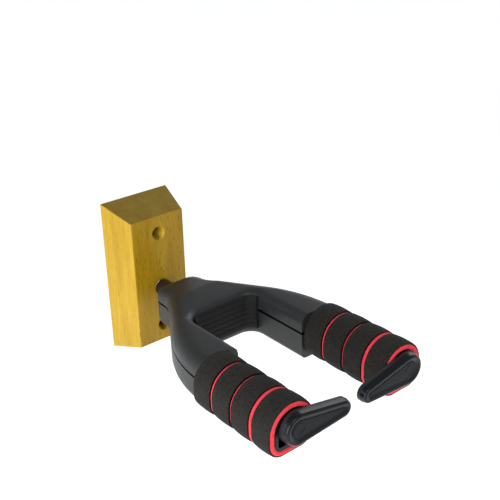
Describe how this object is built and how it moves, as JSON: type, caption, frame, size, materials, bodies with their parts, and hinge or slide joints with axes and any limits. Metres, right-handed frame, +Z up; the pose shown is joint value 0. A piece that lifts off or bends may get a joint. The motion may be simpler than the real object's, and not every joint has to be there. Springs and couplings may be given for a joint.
{
  "type": "guitar wall hanger",
  "caption": "Wooden wall block with a swivelling yoke of two foam-sleeved arms, whose gates swing shut across the neck gap when a guitar's weight pulls the yoke down.",
  "frame": {"origin": "centre of the wooden block's back face, which lies on the wall", "axes": "+X to the right for someone who faces the wall, +Y into the wall, +Z up; the arms reach out along -Y. Rest pose is the loaded one: yoke down, gates shut."},
  "size_m": [0.1118, 0.205, 0.1044],
  "materials": {
    "wood": "lacquered golden oak with small dark flecks",
    "black_plastic": "semi-gloss moulded",
    "satin_plastic": "satin moulded",
    "nylon": "natural moulded",
    "rubber": "matt",
    "black_foam": "closed-cell foam, matt",
    "red_foam": "closed-cell foam, matt",
    "steel": "black oxide",
    "cast_metal": "as cast, tumbled",
    "brass": "turned"
  },
  "bodies": {
    "wall": {"wall_block": "wood", "threaded_insert": "brass", "pivot_stud": "steel", "spacer_sleeve": "steel", "nut_washer": "steel", "lock_nut": "steel"},
    "swivel": {"thrust_washer": "nylon", "swivel_hub": "cast_metal", "lift_fork": "cast_metal", "fork_screw_left": "steel", "fork_screw_right": "steel", "return_spring_left": "steel", "return_spring_right": "steel"},
    "yoke": {"yoke_shell_upper": "satin_plastic", "yoke_shell_lower": "satin_plastic", "throat_pad": "rubber", "guide_pin_left": "steel", "guide_pin_right": "steel", "shell_screw_1": "steel", "shell_screw_2": "steel", "shell_screw_3": "steel", "shell_screw_4": "steel", "arm_beam_left": "black_plastic", "foam_inner_left": "red_foam", "foam_band_left_1": "black_foam", "foam_band_left_2": "black_foam", "foam_band_left_3": "black_foam", "foam_band_left_4": "black_foam", "rear_bush_left": "nylon", "front_bush_left": "nylon", "arm_beam_right": "black_plastic", "foam_inner_right": "red_foam", "foam_band_right_1": "black_foam", "foam_band_right_2": "black_foam", "foam_band_right_3": "black_foam", "foam_band_right_4": "black_foam", "rear_bush_right": "nylon", "front_bush_right": "nylon"},
    "gate_left": {"gate_shaft_left": "steel", "gate_crank_left": "cast_metal", "gate_back_left": "satin_plastic", "gate_paddle_left": "black_plastic", "gate_screw_left": "steel", "gate_cap_left": "satin_plastic"},
    "gate_right": {"gate_shaft_right": "steel", "gate_crank_right": "cast_metal", "gate_back_right": "satin_plastic", "gate_paddle_right": "black_plastic", "gate_screw_right": "steel", "gate_cap_right": "satin_plastic"}
  },
  "joints": [
    {"name": "swivel_turn", "type": "hinge", "parent": "wall", "child": "swivel", "pos_m": [0, -0.0442, -0.005], "axis": [0, -1, 0], "range_deg": [-15, 15]},
    {"name": "yoke_drop", "type": "slide", "parent": "swivel", "child": "yoke", "axis": [0, 0, 1], "range_m": [0, 0.0056], "stiffness_N_per_m": 600, "springref_m": 0.02, "deforming": ["return_spring_left", "return_spring_right"]},
    {"name": "gate_turn_left", "type": "hinge", "parent": "yoke", "child": "gate_left", "pos_m": [-0.0405, -0.2, -0.0022], "axis": [0, -1, 0], "range_deg": [0, 90]},
    {"name": "gate_turn_right", "type": "hinge", "parent": "yoke", "child": "gate_right", "pos_m": [0.0405, -0.2, -0.0022], "axis": [0, 1, 0], "range_deg": [0, 90]}
  ],
  "couplings": [
    {"joint": "gate_turn_left", "follows": "yoke_drop", "rad_per_m": 280.5},
    {"joint": "gate_turn_right", "follows": "yoke_drop", "rad_per_m": 280.5}
  ]
}
